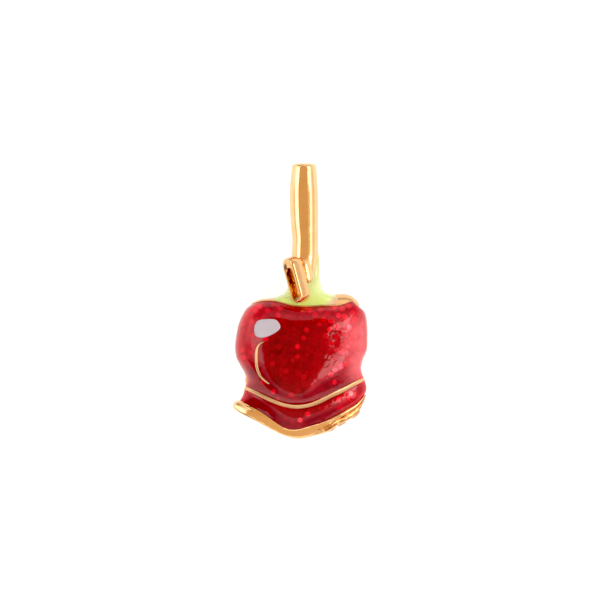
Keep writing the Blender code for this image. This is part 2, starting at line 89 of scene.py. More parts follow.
RIM_TIP = [(-5.00, -8.86), (-5.30, -8.64), (-5.38, -8.38), (-5.28, -8.12), (-5.06, -8.00), (-4.80, -7.96)]
RIM_END = [(5.32, -7.56), (5.20, -7.50)]
CROWN = [(-3.80, -0.14), (-3.16, 0.15), (-2.36, 0.24), (-1.40, 0.40), (0.60, 0.50), (2.30, 0.48),
         (3.20, 0.58), (3.80, 0.54), (4.24, 0.34), (4.60, 0.00), (4.80, -0.36)]
ARC = [(-2.86, -3.24), (-3.22, -3.48), (-3.42, -3.90), (-3.47, -4.60), (-3.40, -5.36), (-3.10, -6.04),
       (-2.46, -6.62)]
SPOT = [(-3.62, -1.96), (-3.34, -1.56), (-2.66, -1.45), (-1.98, -1.48), (-1.62, -1.84), (-1.60, -2.18),
        (-1.90, -2.48), (-2.50, -2.80), (-3.10, -2.93), (-3.54, -2.78), (-3.66, -2.40)]

# Place along the stick, left edge, right edge and front level, and the same for the enamelled neck.
STICK = [(-0.20, -0.60, 1.20, 1.80), (1.20, -0.66, 1.24, 1.90), (1.66, -0.70, 1.29, 2.14),
         (2.34, -0.70, 1.34, 2.20), (3.30, -0.67, 1.42, 2.20), (3.80, -0.66, 1.47, 2.20),
         (5.00, -0.62, 1.47, 2.20), (6.10, -0.73, 1.48, 2.20), (7.60, -0.81, 1.48, 2.20),
         (9.00, -0.81, 1.44, 2.20), (11.02, -0.66, 1.32, 2.16)]
STICK_BACK_Z, STICK_END_ROUND, STICK_POWER = 0.04, 0.34, 2.15
NECK = [(-0.70, -2.80, 3.40, 3.06), (-0.10, -2.80, 3.40, 3.06), (0.20, -2.36, 3.30, 3.04),
        (0.44, -1.62, 2.85, 2.98), (0.68, -1.24, 2.16, 2.88), (0.92, -1.08, 1.84, 2.72),
        (1.16, -1.00, 1.74, 2.52), (1.40, -0.92, 1.67, 2.32), (1.58, -0.60, 1.64, 2.10),
        (1.88, 0.00, 1.62, 1.88), (2.34, 0.30, 1.61, 1.78), (2.84, 0.50, 1.60, 1.68),
        (3.30, 0.70, 1.58, 1.36), (3.78, 0.90, 1.51, 1.10)]
NECK_POWER = 3.0
# Where the neck's enamel lies lower beside the lug.
NECK_HOLLOW, NECK_HOLLOW_SIZE, NECK_HOLLOW_DEPTH = np.array([-0.75, 0.60]), np.array([0.60, 0.70]), 0.26
# The shoulders: how much lower they are at their outer edge, and how full they are up to it.
CROWN_FALL, CROWN_POWER = 0.22, 4

# The stem lug: its sizes, the middle of its face and its turns.
LUG_LENGTH, LUG_WIDTH, LUG_SIDE, LUG_EDGE = 3.70, 1.30, 0.86, 0.20
LUG_BACK_ROUND, LUG_ROOT, LUG_BULGE, LUG_ROUGH = 0.40, 1.80, 0.02, 0.08
LUG_FACE = np.array([-0.70, 1.62, 3.38])
LUG_TURN, LUG_LEAN, LUG_TILT = math.radians(47), math.radians(15), math.radians(3)
# Its blind hollow, and the lobe that joins it to the stick.
RECESS_LENGTH, RECESS_WIDTH, RECESS_DEPTH, RECESS_SHIFT, RECESS_LIP = 2.72, 0.74, 0.44, -0.34, 0.05
WEB_CENTRE, WEB_RADII = np.array([0.60, 2.44, 2.20]), np.array([0.44, 0.96, 0.26])
WEB_LEAN, WEB_ROLL = math.radians(12), math.radians(41)

# The foot rim: how far its face falls outwards, the level and fullness of its outer edge, how far it
# stands over the enamel, and the share of its length over which its left end rounds down.
RIM_SLOPE, RIM_EDGE_Z, RIM_EDGE_POWER, RIM_PROUD, RIM_END_SHARE = 0.18, 0.45, 14, 0.03, 0.018
# How steeply its left tip falls, and the share of the length that this takes at the outside and at most
# further in.
RIM_TIP_FALL, RIM_TIP_REACH = 1.15, (0.05, 0.13)
# How high or deep its right part's forms are: ridge, furrow, lower edge and lumps, then seam and streaks.
RIDGE, FURROW, LOWER_EDGE, LUMPS, SEAM, STREAKS = 0.09, 0.14, 0.07, 0.016, 0.07, 0.004
# Lumps of metal under the rim's right end: centre, half length, half width.
RIM_LUMPS = [((2.50, -10.16, 0.88), 0.46, 0.26), ((3.34, -9.68, 0.88), 0.60, 0.24),
             ((4.28, -9.08, 0.88), 0.62, 0.28)]
RIM_LUMP_HEIGHT, RIM_LUMP_LEAN, RIM_LUMP_ROUGH, RIM_LUMP_SEED = 0.52, math.radians(34), 0.06, 50

# Brightness of bare enamel, of its edges, painted lighter as a sheen, and of the painted sheen along the
# bulb's right side, from 0 to 1. The step of each of the flakes and the dimness of its outline. How much
# lighter the enamel is painted at the left, the top and the foot's right, a painted sheen too.
BARE, EDGE_SHEEN, PAINTED_SHEEN_SIDE = 0.2, 0.62, 0.85
FLAKE_STEP, FLAKE_OUTLINE = 0.002, 0.07
PAINTED_SHEEN_LEFT, PAINTED_SHEEN_TOP, PAINTED_SHEEN_FOOT = 0.26, 0.24, 0.30
# The flakes' seed, how many are strewn and how many crowd at the right, and where: bounds, but for the
# crowd's x its middle and its spread. Radius and lean of the strewn ones, the crowd and the painted glints.
FLAKE_SEED, STREWN, CROWDED = 11, 430, 52
STREWN_X, STREWN_Y, CROWD_X, CROWD_Y = (-5.3, 5.4), (-10.2, -0.1), (3.35, 0.55), (-7.2, -1.9)
STREWN_RADIUS, CROWD_RADIUS, CHOSEN_RADIUS = (0.19, 0.26), (0.22, 0.28), (0.20, 0.25)
STREWN_LEAN, CROWD_LEAN, CHOSEN_LEAN = 0.045, 0.04, 0.05
# How much of the flakes' relief shows everywhere, and what is added at the right and at the top.
RELIEF_SHOWN, RELIEF_RIGHT, RELIEF_TOP = 0.20, 0.34, 0.16
# Waves in the enamel's face: length, height and seed.
ENAMEL_WAVES = [(2.0, 0.006, 5), (0.5, 0.0006, 6)]
# How far from a line relief fades out, how far the face dips at a line or lifts to the rim, and how wide
# the dip is.
SETTLE, LINE_DIP, RIM_LIFT, DIP_WIDTH = 0.25, 0.03, 0.06, 0.10
# Shares of the width over which the enamel's edge is painted lighter as a sheen, and over which its
# relief comes in.
EDGE_SHEEN_SHARE, SIDE_SHARE = 0.07, 0.012

# Flakes painted bright as glints: plan place, and brightness from 0, as the bare enamel, to 1, pale pink.
PAINTED_GLINT_FLAKES = [
    (-3.56, -0.76, 0.72), (-3.24, -0.44, 0.70), (-2.60, -0.76, 0.62), (-1.60, -0.60, 0.55),
    (-1.76, -1.12, 0.66), (0.80, -0.76, 0.58), (1.20, -1.08, 0.60), (2.76, -0.52, 0.62),
    (3.08, -1.16, 0.74), (2.98, -2.09, 0.72), (3.95, -2.09, 0.88), (1.55, -1.86, 0.40),
    (0.52, -2.30, 0.48), (0.28, -2.96, 0.48), (-0.20, -3.64, 0.60), (2.52, -3.40, 0.34),
    (-0.20, -4.44, 0.42), (3.30, -4.10, 0.72), (3.30, -5.20, 0.76), (2.80, -5.50, 0.78),
    (2.46, -5.86, 0.60), (2.75, -6.50, 0.62), (3.72, -5.06, 0.45), (-2.20, -5.00, 0.36),
    (-0.70, -7.50, 0.46), (-1.80, -7.85, 0.40), (-2.12, -7.24, 0.62), (-2.92, -6.44, 0.48),
    (4.07, -7.40, 0.96), (3.10, -7.88, 0.62), (3.27, -8.50, 0.50), (0.60, -9.05, 0.62),
    (0.00, -9.53, 0.80), (-4.52, -7.08, 0.72), (-4.60, -3.96, 0.60), (-4.66, -1.84, 0.58),
    (-4.56, -4.50, 0.66), (-2.70, -3.05, 0.56), (3.95, -0.42, 0.66), (3.70, -1.60, 0.60),
    (4.20, -0.90, 0.60), (0.30, -6.10, 0.34), (-1.10, -5.60, 0.30), (-3.85, -2.75, 0.40),
    (2.20, -1.00, 0.50), (2.50, -1.60, 0.62), (3.40, -0.62, 0.66), (3.55, -1.22, 0.56),
    (1.90, -1.45, 0.46), (4.40, -1.45, 0.58), (2.35, -2.25, 0.52), (1.62, -0.72, 0.56),
    (2.04, -2.80, 0.40),
]


def line(points, steps=12):
    """The smooth curve through the points, as a function of the share of its length.

    It is a Catmull-Rom spline, worked out at some steps on each span and read off in between.
    """
    p = np.array(points, float)
    p = np.vstack([2 * p[0] - p[1], p, 2 * p[-1] - p[-2]])
    t = np.linspace(0, 1, steps, endpoint=False)[:, None]
    runs = [
        0.5 * (2 * b + (c - a) * t + (2 * a - 5 * b + 4 * c - d) * t**2 + (3 * b - a - 3 * c + d) * t**3)
        for a, b, c, d in zip(p, p[1:], p[2:], p[3:])
    ]
    dense = np.vstack([*runs, p[-2]])
    length = np.concatenate([[0], np.cumsum(np.linalg.norm(np.diff(dense, axis=0), axis=1))])
    return lambda s: np.stack([np.interp(s, length / length[-1], column) for column in dense.T], axis=-1)


def step(low, high, x):
    """0 up to low, 1 from high on, and a smooth cubic between."""
    t = np.clip((x - low) / (high - low), 0, 1)
    return t * t * (3 - 2 * t)


def spread(count, edges=0.45):
    """Shares from 0 to 1, a mix of even steps and steps that shorten at both ends as on a semicircle."""
    even = np.linspace(0, 1, count)
    return (1 - edges) * even + edges * (1 - np.cos(np.pi * even)) / 2


def patch(foot, head, left, right):
    """Plan places between four lines (a Coons patch): foot and head run to the right, the sides run up."""
    f, h, l, r = line(foot), line(head), line(left), line(right)

    def at(u, v):
        a, b = u[..., None], v[..., None]
        corners = (1 - a) * (1 - b) * f(0.0) + a * (1 - b) * f(1.0) + (1 - a) * b * h(0.0) + a * b * h(1.0)
        return (1 - b) * f(u) + b * h(u) + (1 - a) * l(v) + a * r(v) - corners

    return at


BULB = patch(WAVE, TOP_LINE, LEFT_SIDE, RIGHT_SIDE)
BAND = patch(RIM_INSIDE, WAVE, BAND_LEFT, BAND_RIGHT)


def dome(u):
    """Height across the body as a share of the ridge: a superellipse that peaks left of its middle."""
    away = np.where(u < DOME_PEAK, (DOME_PEAK - u) / DOME_PEAK, (u - DOME_PEAK) / (1 - DOME_PEAK))
    return (1 - np.clip(away, 0, 1) ** DOME_POWER) ** (1 / DOME_POWER)


def bulb_rise(u, v):
    """The bulb's ridge from the wave line to the top line: a pillow, nearly flat in the middle.

    It falls with a power of the distance from its middle. The lower half has a higher power, except at the
    right, so it stays flat for longer.
    """
    edge = WAVE_RISE + (TOP_LINE_RISE - WAVE_RISE) * v
    foot = (1 - step(*BULB_FOOT_END, u)) * (v < 0.5)
    power = BULB_POWER + (BULB_FOOT_POWER - BULB_POWER) * foot
    return edge + (BULB_RISE - edge) * (1 - np.abs(2 * v - 1) ** power)


def band_rise(u, v):
    """The lower band's ridge from the rim to the wave line: a shallow roll."""
    return RIM_RISE + (WAVE_RISE - RIM_RISE) * v + BAND_BULGE * (1 - (2 * v - 1) ** 2)


def relief(plan, rise, u, v, depth=0.0):
    """The relief's face over a patch, or a face at a depth under it."""
    width = np.linalg.norm(plan(u * 0 + 1, v) - plan(u * 0, v), axis=-1)
    inset = depth / width
    place = plan(inset + (1 - 2 * inset) * u, v)
    level = SIDE_Z + dome(u) * (rise(u, v) - depth)
    return np.concatenate([place, level[..., None]], axis=-1)


def bulb_level(places):
    """The level of the bulb's face over plan places: Newton's steps find the patch's u and v there."""
    half_wide, tall = 5.3, 8.0
    small, steps, inside = 1e-4, 14, (0.002, 0.998)
    u = (places[:, 0] + half_wide) / (2 * half_wide)
    v = (places[:, 1] + tall) / tall
    for _ in range(steps):
        here = BULB(u, v)
        along_u = (BULB(u + small, v) - here) / small
        along_v = (BULB(u, v + small) - here) / small
        miss = places - here
        area = along_u[:, 0] * along_v[:, 1] - along_u[:, 1] * along_v[:, 0]
        u = np.clip(u + (miss[:, 0] * along_v[:, 1] - miss[:, 1] * along_v[:, 0]) / area, *inside)
        v = np.clip(v + (along_u[:, 0] * miss[:, 1] - along_u[:, 1] * miss[:, 0]) / area, *inside)
    return SIDE_Z + dome(u) * bulb_rise(u, v)


def piece(name, points, faces, slot_name, node, material, edge=math.radians(50), second=None, **values):
    """One object from points in millimetres and its faces. It rides on the body and hides its CAD node.

    A second material goes on the faces that its mask names.
    """
    mesh = bpy.data.meshes.new(name)
    mesh.from_pydata(((points + CENTRING) * MM).tolist(), [], faces)
    mesh.shade_smooth()
    mesh.set_sharp_from_angle(angle=edge)
    mesh.materials.append(material)
    if second is not None:
        mesh.materials.append(second[0])
        mesh.polygons.foreach_set("material_index", second[1].astype(np.int32))
    for label, numbers in values.items():
        layer = mesh.attributes.new(label, "FLOAT", "POINT")
        layer.data.foreach_set("value", np.ascontiguousarray(numbers, np.float32))
    obj = bpy.data.objects.new(name, mesh)
    bpy.context.scene.collection.objects.link(obj)
    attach(obj, "root")
    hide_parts(node)
    return obj


def shell(top, under):
    """Points and faces of the closed solid between two grids that match."""
    rows, columns = top.shape[:2]
    count = rows * columns
    index = np.arange(count).reshape(rows, columns)
    quads = np.stack([index[:-1, :-1], index[:-1, 1:], index[1:, 1:], index[1:, :-1]], axis=-1).reshape(-1, 4)
    rim = np.concatenate([index[0, :-1], index[:-1, -1], index[-1, :0:-1], index[:0:-1, 0]])
    after = np.roll(rim, -1)
    walls = np.stack([after, rim, rim + count, after + count], axis=-1)
    faces = np.vstack([quads, quads[:, ::-1] + count, walls])
    return np.vstack([top.reshape(-1, 3), under.reshape(-1, 3)]), faces.tolist()


def block(top, floor):
    """The closed solid from a grid of points straight down to a flat floor."""
    under = top.copy()
    under[..., 2] = floor
    return shell(top, under)


def rings(loops, turned=False, middles=None):
    """The closed solid through loops of as many points each, capped at both ends by a fan round its middle.

    The fans meet in the loops' own middles unless other places are given.
    """
    rows, count = loops.shape[:2]
    index = np.arange(rows * count).reshape(rows, count)
    after = np.roll(index, -1, axis=1)
    walls = np.stack([index[:-1], after[:-1], after[1:], index[1:]], axis=-1).reshape(-1, 4)
    low, high = rows * count, rows * count + 1
    fans = np.vstack([
        np.column_stack([after[0], index[0], np.full(count, low)]),
        np.column_stack([index[-1], after[-1], np.full(count, high)]),
    ])
    if turned:
        walls, fans = walls[:, ::-1], fans[:, ::-1]
    if middles is None:
        middles = [loops[0].mean(axis=0), loops[-1].mean(axis=0)]
    points = np.vstack([loops.reshape(-1, 3), *middles])
    return points, walls.tolist() + fans.tolist()


def ribbon(course, width, crest, drop, across=13, foot=0.6, skew=0.0, slant=0.0, power=1.35):
    """A gold line along a course: its section is a soft ridge as high as drop, over two upright sides.

    The ridge falls with a power of the distance from its top, which stands a share skew of the half width to
    the left of the middle, seen along the course. The whole section slants up to the left, by slant at each
    half width.
    """
    least_side = 0.02
    along = np.gradient(course, axis=0)
    along /= np.linalg.norm(along, axis=1, keepdims=True)
    side = np.stack([-along[:, 1], along[:, 0]], axis=1) * np.reshape(width, (-1, 1)) / 2
    share = np.sin(np.linspace(-np.pi / 2, np.pi / 2, across))
    place = course[None] + side[None] * share[:, None, None]
    away = np.where(share > skew, (share - skew) / (1 - skew), (skew - share) / (1 + skew))
    level = crest[None] - drop * (away**power)[:, None] + slant * share[:, None]
    top = np.concatenate([place, level[..., None]], axis=-1)
    under = top.copy()
    under[..., 2] = np.minimum(crest - foot, level.min(axis=0) - least_side)
    return shell(top, under)


def turn_z(angle):
    """The matrix that turns about Z."""
    c, s = math.cos(angle), math.sin(angle)
    return np.array([[c, -s, 0], [s, c, 0], [0, 0, 1]])


def turn_x(angle):
    """The matrix that turns about X."""
    c, s = math.cos(angle), math.sin(angle)
    return np.array([[1, 0, 0], [0, c, -s], [0, s, c]])


def turn_y(angle):
    """The matrix that turns about Y."""
    c, s = math.cos(angle), math.sin(angle)
    return np.array([[c, 0, s], [0, 1, 0], [-s, 0, c]])


def ripple(places, wave, seed, count=14):
    """A soft seeded unevenness, mostly from -1 to 1: sines in random directions, each about one wave long."""
    draw = np.random.default_rng(seed)
    heading = draw.normal(size=(count, places.shape[-1]))
    heading /= np.linalg.norm(heading, axis=1, keepdims=True)
    pitch = 2 * np.pi / (wave * draw.uniform(0.7, 1.5, count))
    phase = draw.uniform(0, 2 * np.pi, count)
    return np.sin((places @ heading.T) * pitch + phase).sum(axis=-1) / count**0.5


def normals(face):
    """Unit normals of a grid of points, up out of the face."""
    across = np.gradient(face, axis=1)
    along = np.gradient(face, axis=0)
    n = np.cross(across, along)
    return n / np.maximum(np.linalg.norm(n, axis=-1, keepdims=True), 1e-9)


# Materials. Every colour is sRGB.
GOLD_TONES = [(0.3, "#FAC68C"), (0.7, "#FFCE98")]
# The part of a noise's range in which nearly all of its values lie.
NOISE_SPAN = {"From Min": 0.3, "From Max": 0.7}


def colour(code):
    """Linear red, green and blue and a full alpha from an sRGB hex value."""
    parts = [int(code[i : i + 2], 16) / 255 for i in (1, 3, 5)]
    return [c / 12.92 if c <= 0.04045 else ((c + 0.055) / 1.055) ** 2.4 for c in parts] + [1.0]


def node(tree, kind, inputs=None, **settings):
    """Adds a node with its settings. An input is a value, or an output socket to link from."""
    made = tree.nodes.new(kind)
    for key, value in settings.items():
        setattr(made, key, value)
    for key, value in (inputs or {}).items():
        if isinstance(value, bpy.types.NodeSocket):
            tree.links.new(value, made.inputs[key])
        else:
            made.inputs[key].default_value = value
    return made


def ramp(tree, value, stops):
    """A colour ramp over a value, from places and hex colours."""
    made = node(tree, "ShaderNodeValToRGB", {"Fac": value})
    elements = made.color_ramp.elements
    while len(elements) < len(stops):
        elements.new(0.5)
    for element, (place, code) in zip(elements, stops):
        element.position = place
        element.color = colour(code)
    return made.outputs["Color"]


def new_material(name):
    """An empty material with its principled shader."""
    made = bpy.data.materials.new(name)
    made.use_nodes = True
    made.node_tree.nodes.clear()
    out = node(made.node_tree, "ShaderNodeOutputMaterial")
    shader = node(made.node_tree, "ShaderNodeBsdfPrincipled")
    made.node_tree.links.new(shader.outputs["BSDF"], out.inputs["Surface"])
    return made, made.node_tree, shader


def plated_gold(name, ripple_height, roughness, tones=GOLD_TONES):
    """Cast brass, polished and plated with warm gold: a clear mirror with soft casting waves and fine wear.

    Real polishing marks are too fine to show, so the wear is drawn coarser.
    """
    casting_wave, wear, wear_height = 0.9 * MM, 0.12 * MM, 0.0012 * MM
    made, tree, shader = new_material(name)
    place = node(tree, "ShaderNodeTexCoord").outputs["Object"]
    waves = node(tree, "ShaderNodeTexNoise", {"Vector": place, "Scale": 1 / casting_wave, "Detail": 2.0})
    grain = node(tree, "ShaderNodeTexNoise", {"Vector": place, "Scale": 1 / wear, "Detail": 3.0})
    finish = node(tree, "ShaderNodeMapRange", {
        "Value": grain.outputs["Fac"], **NOISE_SPAN, "To Min": roughness[0], "To Max": roughness[1],
    })
    tone = ramp(tree, waves.outputs["Fac"], tones)
    bump = node(tree, "ShaderNodeBump", {
        "Height": waves.outputs["Fac"], "Distance": ripple_height * MM, "Strength": 1.0,
    })
    fine = node(tree, "ShaderNodeBump", {
        "Height": grain.outputs["Fac"], "Distance": wear_height, "Strength": 1.0,
        "Normal": bump.outputs["Normal"],
    })
    tree.links.new(tone, shader.inputs["Base Color"])
    tree.links.new(finish.outputs["Result"], shader.inputs["Roughness"])
    tree.links.new(fine.outputs["Normal"], shader.inputs["Normal"])
    shader.inputs["Metallic"].default_value = 1.0
    return made


def glitter_enamel():
    """Translucent red enamel over metal with polyester flakes in it, under its own clear glassy surface."""
    flake_pitch, facet_height, cloud_size = 0.34 * MM, 0.02 * MM, 0.55 * MM
    made, tree, shader = new_material("red_glitter_enamel")
    place = node(tree, "ShaderNodeTexCoord").outputs["Object"]
    flake = node(tree, "ShaderNodeAttribute", attribute_name="flake").outputs["Fac"]
    cells = node(tree, "ShaderNodeTexVoronoi", {"Vector": place, "Scale": 1 / flake_pitch, "Randomness": 1.0})
    cloud = node(tree, "ShaderNodeTexNoise", {"Vector": place, "Scale": 1 / cloud_size, "Detail": 3.0})
    # The flakes' brightness, with painted glints and painted sheen in it, picks the tone; the pale pink end
    # is for the brightest painted glints.
    tone = ramp(tree, flake, [
        (0.0, "#7C000A"), (0.2, "#9C0010"), (0.4, "#B00414"), (0.6, "#D40418"), (0.8, "#F81434"),
        (1.0, "#FF8084"),
    ])
    depth = node(tree, "ShaderNodeMapRange", {
        "Value": cloud.outputs["Fac"], **NOISE_SPAN, "To Min": 0.82, "To Max": 1.08,
    })
    # The pale painted sheen along the bulb's right side.
    pale = node(tree, "ShaderNodeAttribute", attribute_name="pale").outputs["Fac"]
    with_painted_sheen = node(tree, "ShaderNodeMix", {"Factor": pale, "A": tone, "B": colour("#FC686E")},
                      data_type="RGBA")
    shade = node(tree, "ShaderNodeVectorMath", {0: with_painted_sheen.outputs["Result"]}, operation="SCALE")
    tree.links.new(depth.outputs["Result"], shade.inputs["Scale"])
    facet = node(tree, "ShaderNodeBump", {
        "Height": cells.outputs["Color"], "Distance": facet_height, "Strength": 0.5,
    })
    tree.links.new(shade.outputs["Vector"], shader.inputs["Base Color"])
    tree.links.new(facet.outputs["Normal"], shader.inputs["Normal"])
    shader.inputs["Metallic"].default_value = 0.62
    shader.inputs["Roughness"].default_value = 0.44
    shader.inputs["Specular IOR Level"].default_value = 0.0
    shader.inputs["Coat Weight"].default_value = 1.0
    shader.inputs["Coat Roughness"].default_value = 0.03
    shader.inputs["Coat IOR"].default_value = 1.42
    shader.inputs["Specular Tint"].default_value = colour("#D0444A")
    return made


def green_enamel():
    """Opaque pale green enamel, yellower where it thins up the stick, and glossy."""
    cloud_size, low, high = 0.8 * MM, -0.4 * MM, 2.4 * MM
    made, tree, shader = new_material("pale_green_enamel")
    place = node(tree, "ShaderNodeTexCoord").outputs["Object"]
    height = node(tree, "ShaderNodeSeparateXYZ", {"Vector": place}).outputs["Y"]
    cloud = node(tree, "ShaderNodeTexNoise", {"Vector": place, "Scale": 1 / cloud_size, "Detail": 2.0})
    climb = node(tree, "ShaderNodeMapRange", {
        "Value": height, "From Min": low, "From Max": high, "To Min": 0.0, "To Max": 0.9,
    })
    uneven = node(tree, "ShaderNodeMath", {0: cloud.outputs["Fac"], 1: 0.14, 2: climb.outputs["Result"]},
                  operation="MULTIPLY_ADD")
    tone = ramp(tree, uneven.outputs["Value"], [(0.0, "#C2D866"), (0.4, "#DCEC96"), (1.0, "#D4D698")])
    fade = node(tree, "ShaderNodeAttribute", attribute_name="fade").outputs["Fac"]
    mixed = node(tree, "ShaderNodeMix", {"Factor": fade, "A": tone, "B": colour("#D8B48C")},
                 data_type="RGBA")
    tree.links.new(mixed.outputs["Result"], shader.inputs["Base Color"])
    shader.inputs["Roughness"].default_value = 0.22
    shader.inputs["Coat Weight"].default_value = 0.5
    shader.inputs["Coat Roughness"].default_value = 0.05
    return made


def pale_enamel():
    """Opaque greyish pink enamel of the painted highlight: flat and satin."""
    cloud_size = 0.5 * MM
    made, tree, shader = new_material("pale_spot_enamel")
    place = node(tree, "ShaderNodeTexCoord").outputs["Object"]
    cloud = node(tree, "ShaderNodeTexNoise", {"Vector": place, "Scale": 1 / cloud_size, "Detail": 2.0})
    tone = ramp(tree, cloud.outputs["Fac"], [(0.3, "#BCB4C2"), (0.7, "#C1B9C7")])
    tree.links.new(tone, shader.inputs["Base Color"])
    shader.inputs["Roughness"].default_value = 0.35
    return made


# A line's plate is satin, the shoulders' warmer, the second layer's rough and browner, the back's tumbled,
# and the hollow's unpolished, with painted shade that makes it deep orange.
GOLD = plated_gold("polished_gold_plate", 0.006, (0.09, 0.15))
GOLD_LINE = plated_gold("satin_gold_plate", 0.004, (0.36, 0.44), [(0.3, "#E0AE7C"), (0.7, "#E8BA8A")])
GOLD_SHOULDER = plated_gold("warm_gold_plate", 0.006, (0.12, 0.20), [(0.3, "#EBB47C"), (0.7, "#F0BC86")])
GOLD_LAYER = plated_gold("rough_cast_gold_plate", 0.010, (0.16, 0.26), [(0.3, "#C88850"), (0.7, "#E8AE74")])
GOLD_BACK = plated_gold("tumbled_gold_plate", 0.004, (0.24, 0.34))
GOLD_HOLLOW_SHADED = plated_gold("shaded_unpolished_gold_hollow", 0.010, (0.34, 0.46), [(0.3, "#A4500C"), (0.7, "#FFA83C")])
RED = glitter_enamel()
GREEN = green_enamel()
WHITE = pale_enamel()


# The enamel's own unevenness.


def flakes():
    """Flakes strewn over the apple's plan, a crowd of paler ones at its right, then the painted glints.

    The strewn ones are painted brighter towards the right as glints, and the crowd's paleness is painted
    sheen.
    Rows of x, y, radius, turn, slope across, slope along and brightness. Most are dim.
    """
    draw = np.random.default_rng(FLAKE_SEED)
    x = draw.uniform(*STREWN_X, STREWN)
    y = draw.uniform(*STREWN_Y, STREWN)
    # Towards the right the strewn flakes are painted brighter: painted glints.
    light = BARE + draw.normal(0.02, 0.07, STREWN) + 0.16 * step(1.0, 4.5, x) * draw.uniform(0, 1, STREWN)
    light = np.clip(light, 0.04, 0.60)
    lean = draw.normal(0, 1, (STREWN, 2)) * STREWN_LEAN
    radius = draw.uniform(*STREWN_RADIUS, STREWN)
    scatter = np.column_stack([x, y, radius, draw.uniform(0, np.pi, STREWN), lean, light])
    # The crowd's paler flakes paint the mottled sheen where the right softbox reflects.
    crowd_x = draw.normal(*CROWD_X, CROWDED)
    crowd_y = draw.uniform(*CROWD_Y, CROWDED)
    inside = step(2.2, 2.9, crowd_x) * (1 - step(4.2, 4.7, crowd_x))
    pale = BARE + draw.uniform(-0.06, 0.16, CROWDED) * inside
    gathered = np.column_stack([
        crowd_x, crowd_y, draw.uniform(*CROWD_RADIUS, CROWDED), draw.uniform(0, np.pi, CROWDED),
        draw.normal(0, CROWD_LEAN, (CROWDED, 2)), pale,
    ])
    # These flakes are painted bright as glints.
    chosen = np.array(PAINTED_GLINT_FLAKES)
    total = len(chosen)
    painted_glints = np.column_stack([
        chosen[:, :2], draw.uniform(*CHOSEN_RADIUS, total), draw.uniform(0, np.pi, total),
        draw.normal(0, CHOSEN_LEAN, (total, 2)), BARE + (1 - BARE) * chosen[:, 2],
    ])
    return np.vstack([scatter, gathered, painted_glints])


FLAKES = flakes()


def flake_field(places):
    """Brightness and height of the flakes over plan places, and how pale the enamel is there.

    Each of the flakes is a hexagon, tilted and a hair raised, with a dim outline. At the left, the top and
    the foot's right the enamel is painted a little lighter, and along the bulb's right side it is painted
    pale: both are painted sheen.
    """
    light = np.full(len(places), BARE)
    height = np.zeros(len(places))
    for x, y, radius, turn, slope_x, slope_y, level in FLAKES:
        near = np.abs(places[:, 0] - x) + np.abs(places[:, 1] - y) < 3 * radius
        dx = places[near, 0] - x
        dy = places[near, 1] - y
        sides = [turn + k * math.pi / 3 for k in range(3)]
        far = np.max([np.abs(dx * math.cos(a) + dy * math.sin(a)) for a in sides], axis=0) / radius
        inside = 1 - step(0.78, 1.14, far)
        outline = step(0.80, 1.0, far) * (1 - step(1.1, 1.35, far))
        light[near] = light[near] * (1 - inside) + level * inside - FLAKE_OUTLINE * outline
        height[near] = height[near] * (1 - inside) + (dx * slope_x + dy * slope_y + FLAKE_STEP) * inside
    x, y = places.T
    # Painted sheen: the enamel is drawn lighter at the left, the top and the foot's right, where the lamps'
    # light falls.
    left = (1 - step(-4.2, -3.0, x)) * step(-6.2, -4.8, y)
    foot_right = step(2.4, 4.2, x) * (1 - step(-7.6, -6.8, y))
    lighter = PAINTED_SHEEN_LEFT * left + PAINTED_SHEEN_TOP * step(-2.2, -0.9, y) + PAINTED_SHEEN_FOOT * foot_right
    light = light + lighter * (1 - step(0.35, 0.60, light))
    # A pale painted sheen along the bulb's right side, where the softbox on the right reflects.
    pale = step(3.1, 4.8, x) * (1 - step(4.95, 5.45, x))
    pale = pale * step(-7.2, -5.4, y) * (1 - step(-2.4, -0.6, y))
    return light, height, PAINTED_SHEEN_SIDE * pale * (1 + 0.10 * ripple(places, 0.9, 12))


def red_enamel(name, node_name, plan, rise, foot_line, head_line, foot_clear, head_clear, columns, rows):
    """A sheet of red enamel: the relief's face, moved along its normals by flakes and waves.

    It stops short of the middles of the lines below and above it by what is clear there, and dips next to
    them. Where less than nothing is clear, it runs in under the rim and lifts to it.
    """
    u = np.repeat(spread(columns)[None, :], rows, axis=0)
    tall = np.linalg.norm(line(head_line)(u[0]) - line(foot_line)(u[0]), axis=-1)
    low, high = foot_clear / tall, 1 - head_clear / tall
    v = low + (high - low) * spread(rows, 0.25)[:, None]
    top = relief(plan, rise, u, v)
    under = relief(plan, rise, u, v, ENAMEL)
    flat = top[..., :2].reshape(-1, 2)
    light, height, pale = flake_field(flat)
    from_side = np.minimum(u, 1 - u)
    # The edges are painted lighter: a painted sheen.
    light = light + (EDGE_SHEEN - light) * (1 - step(0.0, EDGE_SHEEN_SHARE, from_side).ravel())
    x, y = flat.T
    height = height * (RELIEF_SHOWN + RELIEF_RIGHT * step(0.9, 2.5, x) + RELIEF_TOP * step(-2.8, -1.8, y))
    for wave, swing, seed in ENAMEL_WAVES:
        height = height + swing * ripple(flat, wave, seed)
    height = height.reshape(u.shape)
    to_foot, to_head = (v - low) * tall, (high - v) * tall
    settle = step(0, SETTLE, np.minimum(to_foot, to_head))
    come_in = step(0.0, SIDE_SHARE, from_side)
    at_foot = LINE_DIP if foot_clear > 0 else -RIM_LIFT
    dip = (at_foot * np.exp(-to_foot / DIP_WIDTH) + LINE_DIP * np.exp(-to_head / DIP_WIDTH)) * dome(u)
    top = top + normals(top) * (height * settle * come_in)[..., None]
    top[..., 2] -= dip
    points, faces = shell(top, under)
    # Brightness of the flakes with the painted glints and sheen, and the pale painted sheen, on the face
    # only.
    flake = np.concatenate([light, np.full(len(light), BARE)])
    pale = np.concatenate([pale, 0 * pale])
    return piece(name, points, faces, "red_enamel", node_name, RED, flake=flake, pale=pale)


